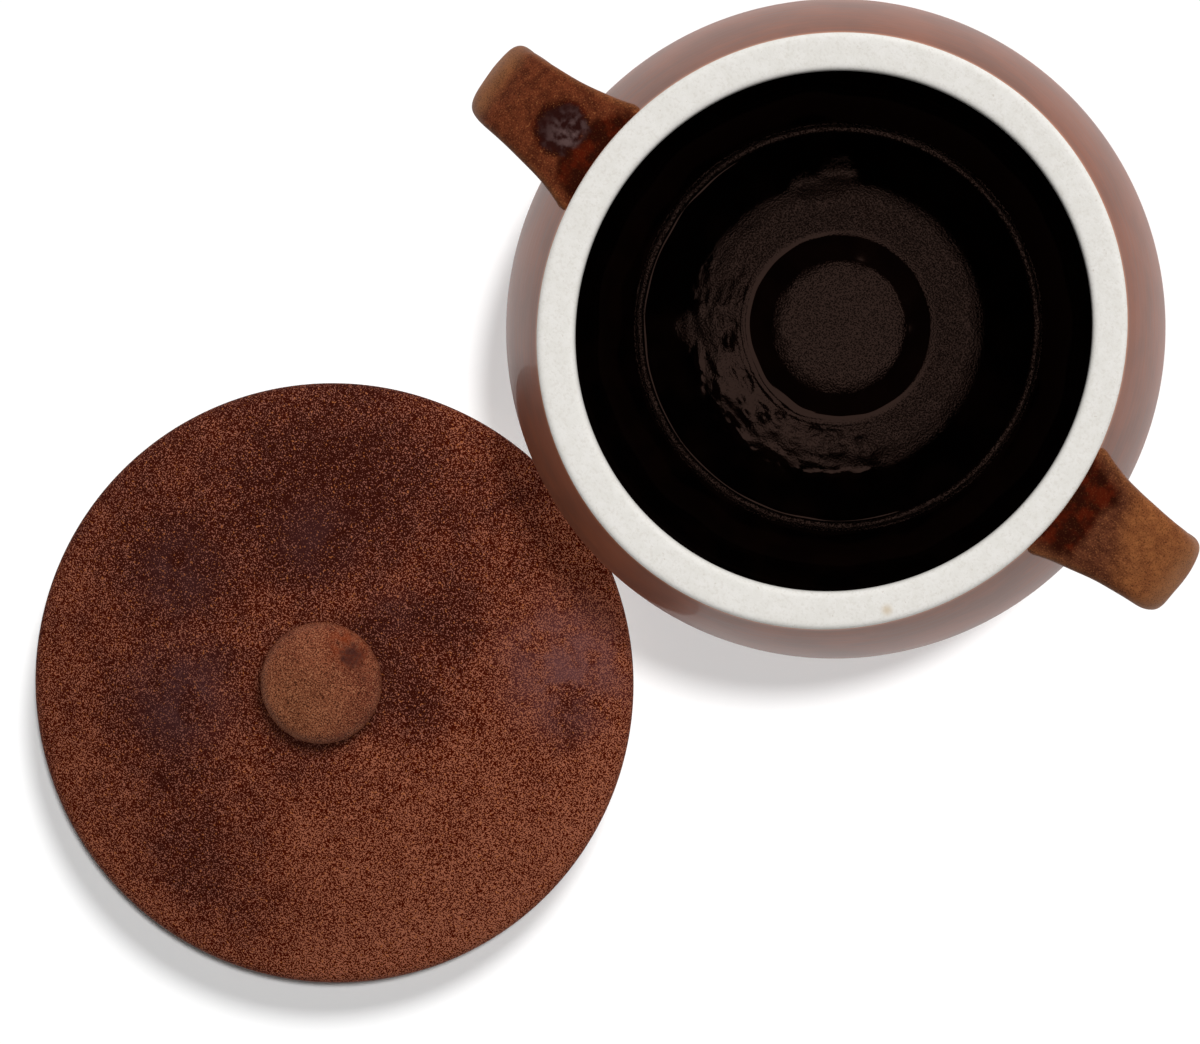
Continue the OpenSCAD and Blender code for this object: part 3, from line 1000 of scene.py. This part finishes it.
dry_glaze = {"Specular IOR Level": 0.015, "Specular Tint": WARM_MIRROR}
speckled, speckled_shader, dust = new_finish("speckled_glaze", dry_glaze)
dust_at = place(dust)
lid_axis = middle_of("lid")
knob_axis = middle_of("lid_knob")
lighter_way = spot_at(LIGHTER_SIDE_PX, LID_TOP_Z) - spot_at(DARKER_SIDE_PX, LID_TOP_Z)
from_lid = dust_at.vector("SUBTRACT", lid_axis)
along = from_lid.vector("DOT_PRODUCT", lighter_way.normalized(), "Value")
flat_at = from_lid.vector("MULTIPLY", (1, 1, 0))
lid_away = flat_at.vector("LENGTH", out="Value")
knob_away = flat_at.vector("DISTANCE", knob_axis - lid_axis, "Value")
dust_cloud = 0.5 * (noise(dust_at, 0.014, 2) - 0.5) + 0.6 * (noise(dust_at, 0.005, 3) - 0.5)
# Lighter towards one side and at the edge: partly thicker dust, partly painted light and painted sheen.
dust_and_painted_light = 0.56 + 4.3 * along + 0.1 * step(lid_away, 0.064, 0.079) + dust_cloud
for pixel, radius, amount in THIN_DUST.values():
    dust_and_painted_light = dust_and_painted_light - amount * near(dust_at, spot_at(pixel, LID_TOP_Z), radius)
# A ring round the knob's foot is darker: pooled glaze together with painted shade.
neck_pool_and_shade = step(knob_away, 0.0205, 0.0155)
dust_and_painted_light = dust_and_painted_light - 0.1 * neck_pool_and_shade
print("dust: thinner at", ", ".join(THIN_DUST))

# %% Speckled glaze
# Pixel of a painted shadow of the knob, lying on the lid.
KNOB_SHADOW_PX = (318, 690)

grains = noise(dust_at, 0.00035, 0)
fleck = noise(dust_at, 0.0009, 1)
grain_line = 0.67 - 0.17 * dust_and_painted_light - 0.25 * (fleck - 0.5)
is_grain = step(grains - grain_line, -0.06, 0.06)
ground_colour = mix(srgb(46, 14, 8), srgb(62, 12, 1), step(dust_and_painted_light, 0.0, 0.8))
grain_colour = mix(srgb(128, 79, 66), srgb(147, 88, 65), step(dust_and_painted_light, 0.0, 0.8))
speckle = mix(ground_colour, grain_colour, is_grain)
speckle = mix(speckle, srgb(176, 104, 58), step(noise(dust_at, 0.0006, 0), 0.72, 0.78) * 0.5)
haze_cloud = step(noise(dust_at, 0.007, 3), 0.3, 0.6)
# The haze patches tint the glaze; the one on the right is a painted sheen.
for pixel, radius, amount, colour in HAZE_AND_SHEEN.values():
    speckle = mix(speckle, colour, near(dust_at, spot_at(pixel, LID_TOP_Z), radius) * haze_cloud * amount)
# A painted shadow: a dark crescent on the lid at the knob's lower-left.
knob_shadow_away = dust_at.vector("DISTANCE", spot_at(KNOB_SHADOW_PX, LID_TOP_Z), "Value")
painted_knob_shadow = step(knob_shadow_away, 0.0205, 0.0165)
speckle = mix(mix(speckle, srgb(38, 16, 10), neck_pool_and_shade * 0.2), srgb(34, 15, 9), painted_knob_shadow * 0.5)
dust_rough = 0.62 - 0.12 * is_grain
plug(speckled_shader, {"Base Color": speckle, "Roughness": dust_rough, "Normal": bump(grains, 0.2, 0.0002)})
print("finish:", speckled.name)

# %% [markdown]
# The lid is turned from its own outline, with the flange that drops into the mouth. The top is glazed,
# the seat and the flange are left bare so that the lid doesn't stick in the kiln, and the hollow inside
# is lined in black.

# %% The lid
LID_GLAZE, LID_CLAY, LID_LINER = range(3)
SEAT_OUT_R = 0.077
LID_RING_STEP = 0.0012
BARE_FOOT_RINGS = 12

lid_fine = worn(fine_outlines["lid"], 4)
lid_outline = spaced(lid_fine, np.full(len(lid_fine), LID_RING_STEP))
lid_r, lid_z, lid_a = turned_grid(lid_outline)
lid_points = grid_points(lid_r, lid_z, lid_a, lid_axis)
flange_foot = int(np.argmin(lid_outline[:, 1]))
lid_index = np.arange(len(lid_outline))
seat_end = int(np.argmax(lid_outline[:, 0] > SEAT_OUT_R))
lid_places = [lid_index < flange_foot - BARE_FOOT_RINGS, lid_index < seat_end]
lid_zones = np.select(lid_places, [LID_LINER, LID_CLAY], LID_GLAZE)
lid = turned_piece("domed_lid", lid_points, lid_zones, [speckled, bare_clay, black_liner])
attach(lid, "loose_lid")
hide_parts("lid")
lid_shadows.link(lid)
crock_shadows.link(lid)

# %% [markdown]
# Fingers and cloths have rubbed the knob, so its dust is thin and tan. Its top is lighter towards the
# lower-left edge, and has a dark blot where a drop of glaze fell. It shares the lid's noise scale, so the
# two still look like one firing.

# %% Worn knob glaze
KNOB_TOP_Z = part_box("lid_knob")[1].z
KNOB_BLOT_PX = (352, 655)
SMALL_BLOT_PX = (368, 676)
KNOB_LIGHT_PX = (292, 712)
KNOB_RED_PX = (350, 638)
BLOT_R = 0.0068
SMALL_BLOT_R = 0.0045
LIGHT_R = 0.024
RED_R = 0.011

knob_glaze, knob_shader, tan = new_finish("worn_knob_glaze", {"Specular IOR Level": 0.06})
tan_at = place(tan)
tan_z = tan.node("SeparateXYZ", sockets={0: tan_at}, out="Z")
tan_cloud = step(noise(tan_at, 0.006, 3), 0.34, 0.66)
tan_grain = noise(tan_at, 0.00035, 0)
knob_light = near(tan_at, spot_at(KNOB_LIGHT_PX, KNOB_TOP_Z), LIGHT_R)
tan_colour = mix(mix(srgb(101, 50, 35), srgb(120, 65, 45), tan_cloud), srgb(134, 86, 52), knob_light * 0.3)
tan_colour = mix(tan_colour, srgb(40, 14, 5), step(tan_grain, 0.5, 0.32) * 0.85)
tan_colour = mix(tan_colour, srgb(168, 116, 84), step(tan_grain, 0.56, 0.76) * 0.6)
small_blot = near(tan_at, spot_at(SMALL_BLOT_PX, KNOB_TOP_Z), SMALL_BLOT_R)
blot = near(tan_at, spot_at(KNOB_BLOT_PX, KNOB_TOP_Z), BLOT_R) + 0.6 * small_blot
red_patch = near(tan_at, spot_at(KNOB_RED_PX, KNOB_TOP_Z), RED_R) * step(noise(tan_at, 0.0022, 3), 0.35, 0.6)
tan_colour = mix(tan_colour, srgb(118, 48, 20), red_patch * 0.7)
ragged = 1.1 * (noise(tan_at, 0.0016, 3) - 0.5) + 0.8 * (tan_grain - 0.5)
tan_colour = mix(tan_colour, srgb(48, 24, 22), step(blot + ragged, 0.15, 0.85) * 0.85)
in_neck = step(tan_z, KNOB_TOP_Z - 0.009, KNOB_TOP_Z - 0.014)
tan_colour = mix(tan_colour, srgb(44, 18, 11), in_neck * 0.75)
knob_bump = bump(tan_grain, 0.2, 0.0002)
plug(knob_shader, {"Base Color": tan_colour, "Roughness": 0.6 - 0.15 * tan_cloud, "Normal": knob_bump})
print("finish:", knob_glaze.name)

# %% The knob
KNOB_RING_STEP = 0.0006

knob_fine = worn(fine_outlines["lid_knob"], 4)
knob_outline = spaced(knob_fine, np.full(len(knob_fine), KNOB_RING_STEP))
knob_r, knob_z, knob_a = turned_grid(knob_outline, ANGLES[::2])
knob_points = grid_points(knob_r, knob_z, knob_a, knob_axis)
knob = turned_piece("turned_knob", knob_points, np.zeros(len(knob_outline)), [knob_glaze])
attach(knob, "loose_lid")
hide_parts("lid_knob")
crock_shadows.link(knob)
